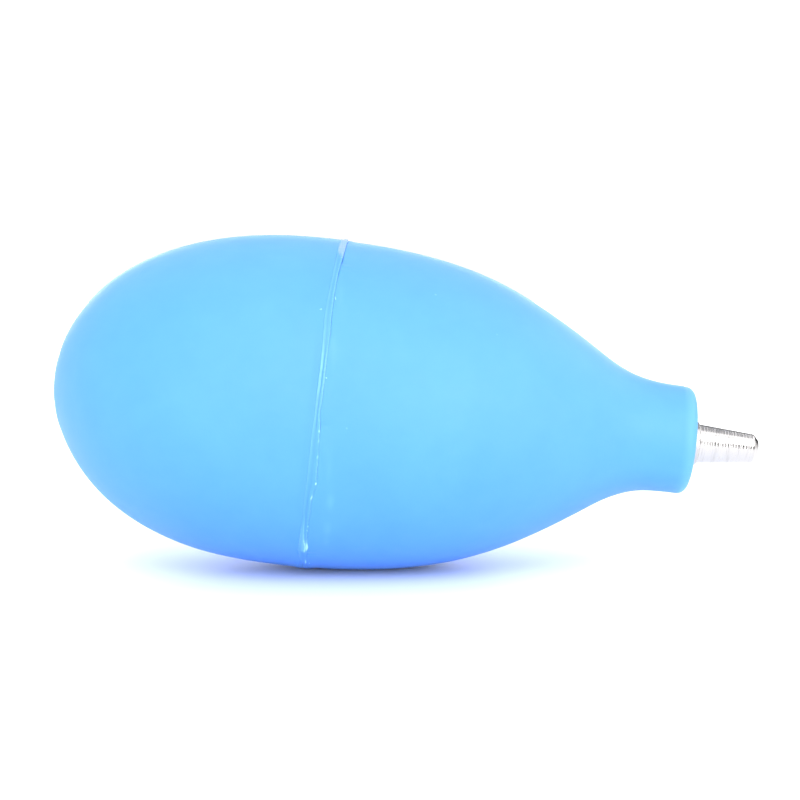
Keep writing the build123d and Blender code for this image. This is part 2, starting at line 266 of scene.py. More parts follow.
# -------------------------------------------------------------- mesh building
def grid_mesh(name, rows, loop, attributes=None, cap_first=False, cap_last=False):
    """A closed mesh from rows of points (row, column, xyz); columns close on
    themselves, and rows do too when loop is true."""
    rows = np.asarray(rows, float)
    nr, nc = rows.shape[:2]
    idx = np.arange(nr * nc).reshape(nr, nc)
    r0 = idx if loop else idx[:-1]
    r1 = np.roll(idx, -1, 0) if loop else idx[1:]
    quads = np.stack([r0, np.roll(r0, -1, 1), np.roll(r1, -1, 1), r1], -1)
    faces = quads.reshape(-1, 4).tolist()
    verts = rows.reshape(-1, 3).tolist()
    if cap_first:
        c = len(verts)
        verts.append(rows[0].mean(0).tolist())
        faces += [[int(idx[0, (j + 1) % nc]), int(idx[0, j]), c] for j in range(nc)]
    if cap_last:
        c = len(verts)
        verts.append(rows[-1].mean(0).tolist())
        faces += [[int(idx[-1, j]), int(idx[-1, (j + 1) % nc]), c] for j in range(nc)]
    mesh = bpy.data.meshes.new(name)
    mesh.from_pydata(verts, [], faces)
    for key, values in (attributes or {}).items():
        att = mesh.attributes.new(key, "FLOAT", "POINT")
        flat = np.zeros(len(verts), np.float32)
        flat[: nr * nc] = np.asarray(values, np.float32).reshape(-1)
        att.data.foreach_set("value", flat)
    mesh.validate()
    mesh.update()
    for p in mesh.polygons:
        p.use_smooth = True
    obj = bpy.data.objects.new(name, mesh)
    bpy.context.scene.collection.objects.link(obj)
    return obj


def outward(obj):
    """Turn the faces outward if the closed mesh came out inside out."""
    import bmesh
    bm = bmesh.new()
    bm.from_mesh(obj.data)
    if bm.calc_volume(signed=True) < 0:
        bmesh.ops.reverse_faces(bm, faces=bm.faces)
    bm.to_mesh(obj.data)
    bm.free()
    obj.data.update()


def phis(n):
    return np.linspace(0, 2 * math.pi, n, endpoint=False)


# ------------------------------------------------------------------- materials
def nodes_of(name):
    mat = bpy.data.materials.new(name)
    mat.use_nodes = True
    nt = mat.node_tree
    nt.nodes.clear()
    out = nt.nodes.new("ShaderNodeOutputMaterial")
    bsdf = nt.nodes.new("ShaderNodeBsdfPrincipled")
    nt.links.new(bsdf.outputs[0], out.inputs[0])
    coord = nt.nodes.new("ShaderNodeTexCoord")
    return mat, nt, bsdf, coord.outputs["Object"]


def noise(nt, vec, scale, detail=4.0, rough=0.55, distort=0.0):
    n = nt.nodes.new("ShaderNodeTexNoise")
    n.inputs["Scale"].default_value = scale
    n.inputs["Detail"].default_value = detail
    n.inputs["Roughness"].default_value = rough
    n.inputs["Distortion"].default_value = distort
    nt.links.new(vec, n.inputs["Vector"])
    return n.outputs["Fac"]


def read(nt, name):
    n = nt.nodes.new("ShaderNodeAttribute")
    n.attribute_name = name
    return n.outputs["Fac"]


def ramp(nt, fac, stops):
    n = nt.nodes.new("ShaderNodeValToRGB")
    el = n.color_ramp.elements
    while len(el) < len(stops):
        el.new(0.5)
    for e, (pos, col) in zip(el, stops):
        e.position = pos
        e.color = (*col, 1) if len(col) == 3 else col
    nt.links.new(fac, n.inputs["Fac"])
    return n.outputs["Color"]


def spread(nt, fac, lo, hi, to_lo, to_hi):
    n = nt.nodes.new("ShaderNodeMapRange")
    n.inputs["From Min"].default_value = lo
    n.inputs["From Max"].default_value = hi
    n.inputs["To Min"].default_value = to_lo
    n.inputs["To Max"].default_value = to_hi
    nt.links.new(fac, n.inputs["Value"])
    return n.outputs["Result"]


def maths(nt, op, a, b=None, c=None, clamp=False):
    n = nt.nodes.new("ShaderNodeMath")
    n.operation = op
    n.use_clamp = clamp
    for i, v in enumerate((a, b, c)):
        if v is None:
            continue
        if isinstance(v, (int, float)):
            n.inputs[i].default_value = v
        else:
            nt.links.new(v, n.inputs[i])
    return n.outputs[0]


def mix(nt, fac, a, b):
    n = nt.nodes.new("ShaderNodeMix")
    n.data_type = "RGBA"
    for socket, v in ((n.inputs["Factor"], fac), (n.inputs["A"], a), (n.inputs["B"], b)):
        pass
    fac_in = [i for i in n.inputs if i.name == "Factor" and i.type == "VALUE"][0]
    col_in = [i for i in n.inputs if i.type == "RGBA"]
    for socket, v in ((fac_in, fac), (col_in[0], a), (col_in[1], b)):
        if isinstance(v, (int, float)):
            socket.default_value = v
        elif isinstance(v, (tuple, list)):
            socket.default_value = (*v, 1) if len(v) == 3 else v
        else:
            nt.links.new(v, socket)
    return [o for o in n.outputs if o.type == "RGBA"][0]


def bump_node(nt, height, distance, strength=1.0, normal=None):
    n = nt.nodes.new("ShaderNodeBump")
    n.inputs["Distance"].default_value = distance
    n.inputs["Strength"].default_value = strength
    nt.links.new(height, n.inputs["Height"])
    if normal is not None:
        nt.links.new(normal, n.inputs["Normal"])
    return n.outputs["Normal"]


def voronoi(nt, vec, scale, out="Distance", randomness=1.0):
    n = nt.nodes.new("ShaderNodeTexVoronoi")
    n.inputs["Scale"].default_value = scale
    n.inputs["Randomness"].default_value = randomness
    nt.links.new(vec, n.inputs["Vector"])
    return n.outputs[out], n.outputs["Color"]


def separate(nt, vec):
    n = nt.nodes.new("ShaderNodeSeparateXYZ")
    nt.links.new(vec, n.inputs[0])
    return n.outputs


BLUE = (0.0805, 0.3186, 0.93)
BLUE_DEEP = (0.0725, 0.2990, 0.91)
BLUE_PALE = (0.0897, 0.3380, 0.95)
BLUE_DARK = (0.046, 0.217, 0.66)
PALE = (0.285, 0.68, 0.98)
CHALK = (0.285, 0.450, 0.58)
# pale used for the painted highlight on the crests of the cement drops and beads
HIGHLIGHT_PALE = (0.52, 0.90, 0.99)
# dark teal used for painted shade in the seam's crack, crease and groove wall and under the neck
SHADE_TEAL = (0.040, 0.185, 0.300)


def rubber_material():
    mat, nt, bsdf, vec = nodes_of("blue_rubber")
    # slow drift of the dye, cloudier mottling and a fine grain
    slow = noise(nt, vec, 42, 3, 0.5, 0.4)
    cloud = noise(nt, vec, 310, 4, 0.6)
    grain = noise(nt, vec, 5200, 2, 0.5)
    tone = maths(nt, "ADD", maths(nt, "MULTIPLY", slow, 0.62),
                 maths(nt, "MULTIPLY", cloud, 0.26))
    tone = maths(nt, "ADD", tone, maths(nt, "MULTIPLY", grain, 0.12))
    base = ramp(nt, tone, [(0.30, BLUE_DEEP), (0.50, BLUE), (0.70, BLUE_PALE)])
    # sparse pale flecks of dust and a few darker pits in the moulded skin
    d1, c1 = voronoi(nt, vec, 260)
    pick1 = maths(nt, "GREATER_THAN", separate(nt, c1)[0], 0.90)
    fleck = maths(nt, "MULTIPLY", spread(nt, d1, 0.020, 0.052, 1, 0), pick1)
    d2, c2 = voronoi(nt, vec, 180)
    pick2 = maths(nt, "GREATER_THAN", separate(nt, c2)[1], 0.93)
    pit = maths(nt, "MULTIPLY", spread(nt, d2, 0.018, 0.045, 1, 0), pick2)
    base = mix(nt, maths(nt, "MULTIPLY", fleck, 0.30), base, PALE)
    base = mix(nt, maths(nt, "MULTIPLY", pit, 0.50), base, BLUE_DARK)
    # painted shade beside the bead on the rear shell
    base = mix(nt, maths(nt, "MULTIPLY", read(nt, "shade"), 0.30), base, BLUE_DARK)
    # cement smears, plus a painted highlight round the neck's rim
    base = mix(nt, maths(nt, "MULTIPLY", read(nt, "smear_and_rim_highlight"), 0.30), base, PALE)
    # painted shade in the seam's crack and under the neck
    base = mix(nt, maths(nt, "MULTIPLY", read(nt, "crack_and_underside_shade"), 0.85), base, SHADE_TEAL)
    nt.links.new(base, bsdf.inputs["Base Color"])
    # finger marks: slightly smoother patches in a matte skin
    touch = noise(nt, vec, 95, 5, 0.62, 1.2)
    rough = spread(nt, touch, 0.35, 0.68, 0.60, 0.50)
    rough = maths(nt, "ADD", rough, spread(nt, grain, 0.3, 0.7, -0.03, 0.03))
    nt.links.new(rough, bsdf.inputs["Roughness"])
    skin = noise(nt, vec, 2600, 5, 0.6)
    n1 = bump_node(nt, skin, 0.000012, 0.8)
    pits = maths(nt, "SUBTRACT", fleck, pit)
    n2 = bump_node(nt, pits, 0.00003, 0.8, n1)
    nt.links.new(n2, bsdf.inputs["Normal"])
    bsdf.inputs["IOR"].default_value = 1.48
    bsdf.inputs["Specular IOR Level"].default_value = 0.45
    bsdf.inputs["Sheen Weight"].default_value = 0.10
    bsdf.inputs["Sheen Roughness"].default_value = 0.45
    bsdf.inputs["Sheen Tint"].default_value = (0.75, 0.92, 1.0, 1)
    bsdf.inputs["Subsurface Weight"].default_value = 0.12
    bsdf.inputs["Subsurface Radius"].default_value = (0.35, 0.8, 1.0)
    bsdf.inputs["Subsurface Scale"].default_value = 0.0016
    return mat


def cement_material():
    """Dried cement: nearly the bulb's own blue where it is thin, paler where it is thick or stands up as a ridge,
    chalky where it dried in a blob, with a painted highlight on the crests of the drops and beads and painted
    shade in the crease and on the groove wall."""
    mat, nt, bsdf, vec = nodes_of("seam_cement_film")
    fine = noise(nt, vec, 2400, 4, 0.65)
    patchy = noise(nt, vec, 700, 4, 0.6, 0.8)
    pale = maths(nt, "MULTIPLY", read(nt, "pale"),
                 spread(nt, patchy, 0.32, 0.66, 0.70, 1.15))
    pale = maths(nt, "MULTIPLY", pale, spread(nt, fine, 0.3, 0.7, 0.88, 1.1), clamp=True)
    base = mix(nt, pale, BLUE, PALE)
    chalk = maths(nt, "MULTIPLY", read(nt, "chalk"),
                  spread(nt, fine, 0.3, 0.7, 0.72, 1.1), clamp=True)
    # painted highlight on the crests of the drops and beads
    base = mix(nt, read(nt, "crest_highlight"), base, HIGHLIGHT_PALE)
    base = mix(nt, chalk, base, CHALK)
    # painted shade in the crease between the ridges and on the groove wall
    base = mix(nt, maths(nt, "MULTIPLY", read(nt, "shade"), 0.60), base, SHADE_TEAL)
    nt.links.new(base, bsdf.inputs["Base Color"])
    nt.links.new(spread(nt, patchy, 0.3, 0.7, 0.34, 0.55), bsdf.inputs["Roughness"])
    nt.links.new(bump_node(nt, fine, 0.00002, 0.9), bsdf.inputs["Normal"])
    bsdf.inputs["IOR"].default_value = 1.48
    bsdf.inputs["Subsurface Weight"].default_value = 0.15
    bsdf.inputs["Subsurface Radius"].default_value = (0.5, 0.9, 1.0)
    bsdf.inputs["Subsurface Scale"].default_value = 0.0012
    return mat


def metal_material(name, centre, base=(0.612, 0.592, 0.588)):
    """Bright turned aluminium: tool rings across the axis, with broken streaks."""
    mat, nt, bsdf, vec = nodes_of(name)
    # distance along the axis and angle round it, from the piece's own axis
    rel = nt.nodes.new("ShaderNodeVectorMath")
    rel.operation = "SUBTRACT"
    nt.links.new(vec, rel.inputs[0])
    rel.inputs[1].default_value = tuple(centre)
    dot = nt.nodes.new("ShaderNodeVectorMath")
    dot.operation = "DOT_PRODUCT"
    nt.links.new(rel.outputs[0], dot.inputs[0])
    dot.inputs[1].default_value = tuple(axis)
    along = dot.outputs["Value"]
    comb = nt.nodes.new("ShaderNodeCombineXYZ")
    nt.links.new(maths(nt, "MULTIPLY", along, 1.0), comb.inputs[0])
    # stretch the noise round the piece so that it reads as tool marks
    scale = nt.nodes.new("ShaderNodeVectorMath")
    scale.operation = "SCALE"
    nt.links.new(rel.outputs[0], scale.inputs[0])
    scale.inputs["Scale"].default_value = 0.055
    add = nt.nodes.new("ShaderNodeVectorMath")
    add.operation = "ADD"
    nt.links.new(comb.outputs[0], add.inputs[0])
    nt.links.new(scale.outputs[0], add.inputs[1])
    rings = noise(nt, add.outputs[0], 5200, 3, 0.75)
    broad = noise(nt, add.outputs[0], 900, 2, 0.5)
    smear = noise(nt, vec, 800, 4, 0.6)
    tone = maths(nt, "ADD", maths(nt, "MULTIPLY", rings, 0.55),
                 maths(nt, "MULTIPLY", broad, 0.45))
    dark = tuple(c * 0.80 for c in base)
    lite = tuple(min(1, c * 1.03) for c in base)
    nt.links.new(ramp(nt, tone, [(0.36, dark), (0.50, base), (0.70, lite)]),
                 bsdf.inputs["Base Color"])
    rough = maths(nt, "ADD", spread(nt, rings, 0.3, 0.7, 0.15, 0.27),
                  spread(nt, smear, 0.3, 0.7, -0.03, 0.05))
    nt.links.new(rough, bsdf.inputs["Roughness"])
    n1 = bump_node(nt, rings, 0.000010, 1.0)
    nt.links.new(bump_node(nt, smear, 0.000006, 0.5, n1), bsdf.inputs["Normal"])
    bsdf.inputs["Metallic"].default_value = 1.0
    bsdf.inputs["Anisotropic"].default_value = 0.35
    return mat


def plain_rubber(name, colour):
    mat, nt, bsdf, vec = nodes_of(name)
    cloud = noise(nt, vec, 900, 4, 0.6)
    dust = noise(nt, vec, 3000, 3, 0.6)
    nt.links.new(mix(nt, spread(nt, dust, 0.45, 0.75, 0, 0.35), colour,
                     tuple(c * 3 + 0.02 for c in colour)), bsdf.inputs["Base Color"])
    nt.links.new(spread(nt, cloud, 0.3, 0.7, 0.5, 0.72), bsdf.inputs["Roughness"])
    nt.links.new(bump_node(nt, dust, 0.00001, 0.7), bsdf.inputs["Normal"])
    return mat


rubber = rubber_material()
cement = cement_material()
nozzle_centre = (nozzle_tip - axis * 11.0) * MM
aluminium = metal_material("turned_aluminium", nozzle_centre)
valve_metal = metal_material("valve_aluminium", pole * MM, (0.50, 0.50, 0.51))
spring_metal = metal_material("spring_steel", pole * MM, (0.42, 0.42, 0.43))
disc_rubber = plain_rubber("disc_rubber", (0.030, 0.030, 0.033))


# ------------------------------------------------------------------ rear shell
def lean(phi):
    return SEAM_LEAN * SEAM_R * np.cos(phi)


LIFT = 0.16              # the belly is a little flatter underneath


def rear_shell():
    ph = phis(512)
    rows, q_of_row = [], []

    def row(s, r, drop=0.0, q=None):
        rows.append(put(s, r, ph, drop))
        q_of_row.append(q)

    # rounded lip of the recess over the valve, then the dome
    for s, r in [(0.66, 3.30), (0.48, 3.31), (0.36, 3.36), (0.27, 3.46), (0.235, 3.62)]:
        row(s, r)
    dome = rear_line[(rear_line[:, 1] > 3.8) & (rear_line[:, 0] < SEAM_S - 1.6)]
    length = np.concatenate([[0], np.cumsum(np.hypot(*np.diff(dome, axis=0).T))])
    q = np.concatenate([np.linspace(0, length[-1] - 3.2, 100),
                        np.linspace(length[-1] - 3.0, length[-1], 16)])
    s_u, r_u = np.interp(q, length, dome[:, 0]), np.interp(q, length, dome[:, 1])
    for s0, r0 in zip(s_u, r_u):
        w = smooth(s0, 14, SEAM_S - 1.6)
        s1 = s0 + w * lean(ph)
        r1 = r0 + np.where(s0 > 10, rear_r(s1) - rear_r(s0), 0)
        r1 = r1 - LIFT * bump(s0, 31.0, 12.0) * smooth(-np.cos(ph), .70, .98)
        row(s1, r1, sag(s0) * smooth(r0, 4.2, 8.0),
            s1 - SEAM_S - lean(ph) if s0 > 30 else None)
    # the edge, dressed down under the film of cement
    left = seam_left(ph)
    for k, (dq, dr) in enumerate([(-0.42, 0.0), (-0.26, -0.002), (-0.14, -0.012),
                                  (-0.03, -0.045), (0.10, -0.12), (0.22, -0.26)]):
        s1 = SEAM_S + left + dq + lean(ph)
        row(s1, rear_r(s1) + dr, 0.0, left + dq)
    s1 = SEAM_S - 0.10 + lean(ph)
    row(s1, rear_r(s1) - 0.42)
    row(s1, 21.40)
    for q0 in (-0.10, -1.0, -2.0, -3.05):
        row(SEAM_S + q0 + lean(ph), 21.38)
    row(SEAM_S - 3.05 + lean(ph), 20.8)
    cav = curve_of(CAVITY_REAR, 34)[::-1]
    for s0, r0 in cav:
        w = smooth(s0, 20, 33.9)
        row(s0 + w * lean(ph), r0)
    for s, r in [(5.30, 7.6), (5.30, 6.0), (5.30, 4.4), (5.30, 3.42), (5.24, 3.33),
                 (4.90, 3.30), (3.9, 3.75), (3.6, 3.75), (3.58, 3.30), (3.3, 3.30),
                 (2.3, 3.75), (2.0, 3.75), (1.98, 3.30), (1.0, 3.30)]:
        row(s, r)
    # painted shade: the wall is darkened where it sinks beside the bead
    deg = np.degrees(ph)
    sink_shade = by_degrees(ph, [(56, 0), (62, .25), (68, .7), (77, .85), (83, .6),
                            (90, .25), (100, .35), (106, .45), (114, .3), (124, .2),
                            (150, 0)], .2, 51, .25)
    shade = np.zeros((len(rows), len(ph)))
    for k, q0 in enumerate(q_of_row):
        if q0 is not None:
            shade[k] = np.clip(sink_shade, 0, 1) * bump(q0 - left, -.55, .62)
    obj = grid_mesh("rear_shell_rubber", rows, loop=True, attributes={"shade": shade})
    obj.data.materials.append(rubber)
    outward(obj)
    return obj


# ----------------------------------------------------------------- front shell
def front_shell():
    ph = phis(512)
    rows = []

    def row(s, r, drop=0.0):
        rows.append(put(s, r, ph, drop))

    right = seam_right(ph)
    # bottom of the groove, the moulded edge, then the outside
    s1 = SEAM_S + 0.02 + lean(ph)
    row(s1, front_r(s1) - 0.55)
    gap = groove_open(ph)
    signed = (np.degrees(ph) + 180) % 360 - 180
    notch = smooth(signed, -27, -20) * (1 - smooth(signed, 7.5, 13))
    cleft = gap * (1 - .65 * smooth(signed, -30, -22) * (1 - smooth(signed, 10, 20)))

    def flush(s1, dq):
        """Where the crack is closed the edge is dressed level with the bead."""
        shut = 1 - .85 * smooth(gap, .08, .80) - .15 * notch
        return (rear_r(np.minimum(s1, 40)) - front_r(s1) + .018 * (1 - notch)) * shut \
            * (1 - smooth(dq, .05, 1.6))

    for dq, dr in [(0.055, -0.46), (0.058, -0.26), (0.066, -0.13), (0.082, -0.060),
                   (0.110, -0.022), (0.16, -0.006), (0.24, 0.0), (0.40, 0.0), (0.60, 0.0)]:
        open_q = 0.014 + (dq - 0.014) * (0.10 + 0.70 * cleft) if dq < .2 else dq
        open_q = open_q + notch * min(dq, .16) * .25
        open_r = dr * (0.08 + 0.80 * cleft) if dr > -.2 else dr
        open_r = open_r - notch * .05 * (1 - smooth(dq, .10, .34))
        s1 = SEAM_S + right + open_q + lean(ph)
        row(s1, front_r(s1) + open_r + flush(s1, dq))
    for dq in (0.85, 1.25, 1.8):
        s1 = SEAM_S + dq + right * (1 - smooth(dq, 0.6, 1.9)) + lean(ph)
        row(s1, front_r(s1) + flush(s1, dq))
    for s0 in np.concatenate([np.linspace(39.5, 66, 44), np.linspace(66.5, 85.4, 50)]):
        w = 1 - smooth(s0, SEAM_S + 1.5, 58)
        s1 = s0 + w * lean(ph)
        row(s1, front_r(s1), sag(s0))
    # soft rim of the neck; its end face sinks a little toward the collar
    rim = 7.35
    edge = 1.25
    proud = LENGTH + 0.17
    row(proud - edge - 0.15, rim, sag(86.8))
    for a in np.linspace(2, 90, 14):
        a = math.radians(a)
        row(proud - edge + edge * math.sin(a) ** 0.96,
            rim - edge + edge * math.cos(a), sag(86.8))
    for f in np.linspace(0.1, 1, 9):
        r0 = (rim - edge) * (1 - f) + 3.00 * f
        row(proud - 0.22 * f ** 3, r0, sag(86.8) * (1 - f) + NOZZLE_DROP * f)
    # the hole round the nozzle's shank
    for s, r in [(86.78, 2.90), (86.66, 2.78), (86.2, 2.76), (85.0, 2.76)]:
        row(s, r, NOZZLE_DROP)
    for k in range(3):
        b = 84.2 - k * 3.2
        for s, r in [(b + 0.02, 2.76), (b, 3.16), (b - 0.3, 3.16), (b - 2.0, 2.76)]:
            row(s, r, NOZZLE_DROP)
    row(74.9, 2.78, NOZZLE_DROP)
    row(74.8, 3.0, NOZZLE_DROP * 0.6)
    cav = curve_of(CAVITY_FRONT, 34)[::-1]
    for s0, r0 in cav:
        w = 1 - smooth(s0, 36, 52)
        row(s0 + w * lean(ph), r0)
    for q0, r0 in [(-3.0, 20.8), (-3.0, 21.30), (-2.0, 21.32), (-1.0, 21.32), (0.0, 21.32)]:
        row(SEAM_S + q0 + lean(ph), r0)
    # smears of cement wiped off beside the seam, and a painted highlight round the neck's rim
    pale = np.zeros((len(rows), len(ph)))
    deg = np.degrees(ph)[None, :]
    here = np.array(rows) / MM - pole
    s_all = here @ axis
    r_all = np.hypot(here @ up, here @ near)
    for s0, d0, ds, dd, amount in SMEARS:
        line = s0 + 0.04 * (deg - d0)
        pale += amount * np.exp(-((s_all - line) / ds) ** 2 - ((deg - d0) / dd) ** 2)
    pale *= (r_all > 21.0)
    # painted highlight: the band round the neck's rim is lightened
    pale += .42 * smooth(s_all, 85.0, 86.1) * (r_all > 3.2)
    # painted shade in the crack and on the underside of the neck
    crack_and_underside_shade = np.zeros(pale.shape)
    for k, amount in enumerate((1, 1, 1, .9, .55, .2)):
        crack_and_underside_shade[k] = amount * np.clip(.40 + gap, 0, 1) * (1 - notch)
    crack_and_underside_shade += .30 * smooth(s_all, 62, 74) * smooth(-np.cos(ph)[None, :], .45, .98) \
        * (1 - smooth(s_all, 84.5, 86.0))
    rows = np.array(rows)
    outside = rows[:, :, 2] < 0          # lies flat on the floor
    rows[:, :, 2] = np.where(outside, 0.0, rows[:, :, 2])
    obj = grid_mesh("front_shell_rubber", rows, loop=True,
                    attributes={"smear_and_rim_highlight": pale, "crack_and_underside_shade": crack_and_underside_shade})
    obj.data.materials.append(rubber)
    outward(obj)
    return obj


# --------------------------------------------------------------- seam cement
# beads of cement that stand up along the right ridge: (degrees, half length, size)
BEADS = [(93.1, .80, .58), (96.3, 1.0, .42), (101.6, .90, .38), (111.0, .75, .95),
         (116.4, 1.60, .66), (129.0, .80, .45), (131.0, .80, .40), (153.4, 3.8, .85),
         (184.0, .9, .6), (207.5, .6, .9), (228.0, 1.4, .5), (251.3, .7, .8),
         (266.0, .6, .5), (283.0, 1.0, .7), (309.4, .7, .6), (331.0, .8, .5)]


def seam_bead():
    n = 1800
    ph = phis(n)
    deg = np.degrees(ph)
    left, right = seam_left(ph), seam_right(ph)
    gap, dark = groove_open(ph), crease(ph)
    wobble = ring_noise(ph, 20, 160, 31)
    fine = ring_noise(ph, 120, 420, 32)
    thick = ring_noise(ph, 3, 30, 33)
    pale_l = by_degrees(ph, [(24, .20), (30, .40), (37, .34), (44, .26), (52, .24),
                             (59, .26), (63, .38), (66, .70), (70, .95), (75, 1.0),
                             (79, .85), (82, .50), (86, .34), (92, .34), (99, .30),
                             (107, .22), (116, .12), (124, .10), (130, .35),
                             (134, .60), (139, .75), (144, .60), (148, .30), (153, .05)], .35, 61, .45)
    pale_r = by_degrees(ph, [(24, .75), (29, .45), (34, .62), (40, .55), (46, .5),
                             (52, .45), (58, .34), (63, .30), (67, .42), (71, .72),
                             (79, .80), (83, .50), (87, .38), (90, .60), (93, .5),
                             (97, .38), (99, .12), (101, .4), (104, .55), (109, .42), (113, .15),
                             (119, .30), (125, .26), (131, .20), (135, .35), (139, .8),
                             (144, .3), (148, .2), (154, .35)], .40, 62, .45)
    pale_l = np.clip(pale_l * (1 + .16 * wobble), 0, 1.3)
    pale_r = np.clip(pale_r * (1 + .22 * fine), 0, 1.3)
    ridge_l = 0.016 + 0.034 * pale_l + 0.006 * thick
    ridge_r = 0.018 + 0.034 * pale_r + 0.009 * fine
    dots = sum(a * bump(deg, d, h) for d, h, a in BEADS)
    # a drop of cement low on the near side, and a smaller one on the far side
    drop = np.interp(deg, [135.2, 137.4, 140.4, 141.0, 142.0, 144.8],
                     [0, .30, .96, 1.0, .74, 0])
    drop2 = np.interp(deg, [209, 213.5, 215.5, 219], [0, 1, .9, 0])
    lump = drop + drop2
    right = right + 0.17 * lump + 0.03 * dots
    mid = 0.004 + 0.005 * wobble + 0.020 * bump(deg, 12, 14)

    rows, pale, chalk, shade, crest_highlight = [], [], [], [], []
    rng = np.random.default_rng(17)
    signed = np.where(deg > 180, deg - 360, deg)
    proud = bump(signed, 0, 19)

    def row(q, h, p, dim=0.0, painted_highlight=0.0):
        s1 = SEAM_S + q + lean(ph)
        # the whitish patch at the top, a little proud, with a ragged lower end
        f = np.clip((q - left) / (right - left), 0, 1)
        rows.append(put(s1, rear_r(s1) + h + .10 * f * proud, ph))
        crest_highlight.append(np.clip(painted_highlight + 0 * ph, 0, 1))
        end = 22.9 + 2.9 * f ** 2 + rng.normal(0, .8) + .9 * fine
        lo = 343.0 - 4.0 * f + rng.normal(0, 1.2)
        d = np.where(deg > 180, deg - 360, deg)
        on = (1 - smooth(d, end - 1.1, end + .5)) * smooth(d, lo - 361.5, lo - 359.0)
        chalk.append(on * (.80 + .20 * wobble) * np.clip(f * 8, 0, 1)
                     * (h > -.25))
        pale.append(np.clip(p, 0, 1))
        shade.append(np.clip(dim * (1 - on), 0, 1))

    row(left - .16, -.030 + 0 * ph, 0 * ph)
    row(left - .085, -.006 + 0 * ph, .05 * pale_l)
    wide_l = 1.1 + .95 * np.clip(pale_l, 0, 1)
    wide_r = 1.25 + .45 * np.clip(pale_r, 0, 1)
    for off, k in [(-.04, .35), (.0, .80), (.045, 1.0), (.09, .82), (.135, .42)]:
        row(left + off * wide_l, k * ridge_l + (1 - k) * mid, .34 * k * pale_l)
    # painted shade along the crease between the ridges
    half = .46 - .22 * dark
    for f in (.0, .10, .18, .26, .33, .40, .47, .54, .62, .74, .88, 1.0):
        q = (left + .15 * wide_l) * (1 - f) + (right - .17 * wide_r) * f
        pit = dark * bump(f, .40, half)
        run = np.interp(deg, [124, 128, 133, 137, 140, 142.5, 145], [.02, .06, .28, .62, .86, .92, .80])
        flow = np.interp(deg, [123, 128, 133, 138, 141, 143.6, 145.2], [0, .30, .45, .80, .95, .90, 0])
        stripe = np.clip(1 - np.abs(f - run) / .30, 0, 1)
        tail = flow * (.95 * stripe + .42 * smooth(f, -.2, .2) * (f < run + .02))
        # painted highlight along the drop's run
        row(q, mid - .055 * pit * (1 - flow) + .05 * lump * f ** 2 + .03 * flow * stripe,
            tail, pit * (1 - flow), .55 * smooth(deg, 135, 140) * flow * stripe)
    for off, k in [(-.165, .30), (-.125, .72), (-.085, 1.0), (-.05, .92), (-.02, .60),
                   (.0, .12)]:
        # painted highlight: the crests of the drops and larger beads are whitened
        glow = (.9 * smooth(drop, .25, .9) + .75 * drop2) * smooth(k, .2, .8)
        glow = glow + np.clip(dots - .35, 0, 1) * 1.1 * smooth(k, .3, .9)
        row(right + off * wide_r,
            k * ridge_r + (1 - k) * mid + (.050 * dots + .07 * lump) * (.35 + .65 * k),
            (.31 * pale_r + .85 * dots + .95 * lump) * min(1, .25 + k), 0.0, glow)
    # painted shade on the groove wall, stronger where the crack is open
    for off, h in [(.014, -.09), (.020, -.22), (.022, -.40)]:
        row(right + off * (.3 + .9 * gap), h + 0 * ph, 0 * ph, np.clip(gap * 1.4, 0, 1))
    # underside, in the groove between the two halves
    for f, h in [(.90, -.42), (.5, -.42), (.2, -.40), (.06, -.25)]:
        row(left * (1 - f) + right * f, h + 0 * ph, 0 * ph)
    obj = grid_mesh("seam_cement_bead", rows, loop=True,
                    attributes={"pale": pale, "chalk": chalk, "shade": shade, "crest_highlight": crest_highlight})
    obj.data.materials.append(cement)
    outward(obj)
    return obj


def blob(name, places, seed):
    """Small flattened drops of cement: places are (s, degrees, size, height)."""
    rng = np.random.default_rng(seed)
    verts, faces, pale = [], [], []
    nu, nv = 14, 7
    for s0, deg, size, high, stretch in places:
        phi0 = math.radians(deg)
        wob = rng.uniform(0, 2 * math.pi, 3)
        start = len(verts)
        turn = rng.uniform(-0.5, 0.5)
        for j in range(nv):
            a = math.pi * (j + 0.5) / nv
            for i in range(nu):
                b = 2 * math.pi * i / nu
                rad = math.sin(a) * (1 + 0.16 * math.sin(2 * b + wob[0])
                                     + 0.10 * math.sin(3 * b + wob[1]))
                x, y = rad * math.cos(b) * size, rad * math.sin(b) * size * stretch
                x, y = x * math.cos(turn) - y * math.sin(turn), \
                    x * math.sin(turn) + y * math.cos(turn)
                s1 = s0 + x
                surf = float(rear_r(s1)) if s1 < SEAM_S else float(front_r(s1))
                r1 = surf + math.cos(a) * high
                phi1 = phi0 + y / surf
                verts.append(put(s1, r1, phi1).tolist())
                pale.append(0.75)
        for j in range(nv - 1):
            for i in range(nu):
                a0 = start + j * nu + i
                a1 = start + j * nu + (i + 1) % nu
                faces.append([a0, a1, a1 + nu, a0 + nu])
        faces.append([start + i for i in range(nu)][::-1])
        faces.append([start + (nv - 1) * nu + i for i in range(nu)])
    mesh = bpy.data.meshes.new(name)
    mesh.from_pydata(verts, [], faces)
    att = mesh.attributes.new("pale", "FLOAT", "POINT")
    att.data.foreach_set("value", np.array(pale, np.float32))
    mesh.validate()
    mesh.update()
    for p in mesh.polygons:
        p.use_smooth = True
    obj = bpy.data.objects.new(name, mesh)
    bpy.context.scene.collection.objects.link(obj)
    obj.data.materials.append(cement)
    outward(obj)
    return obj


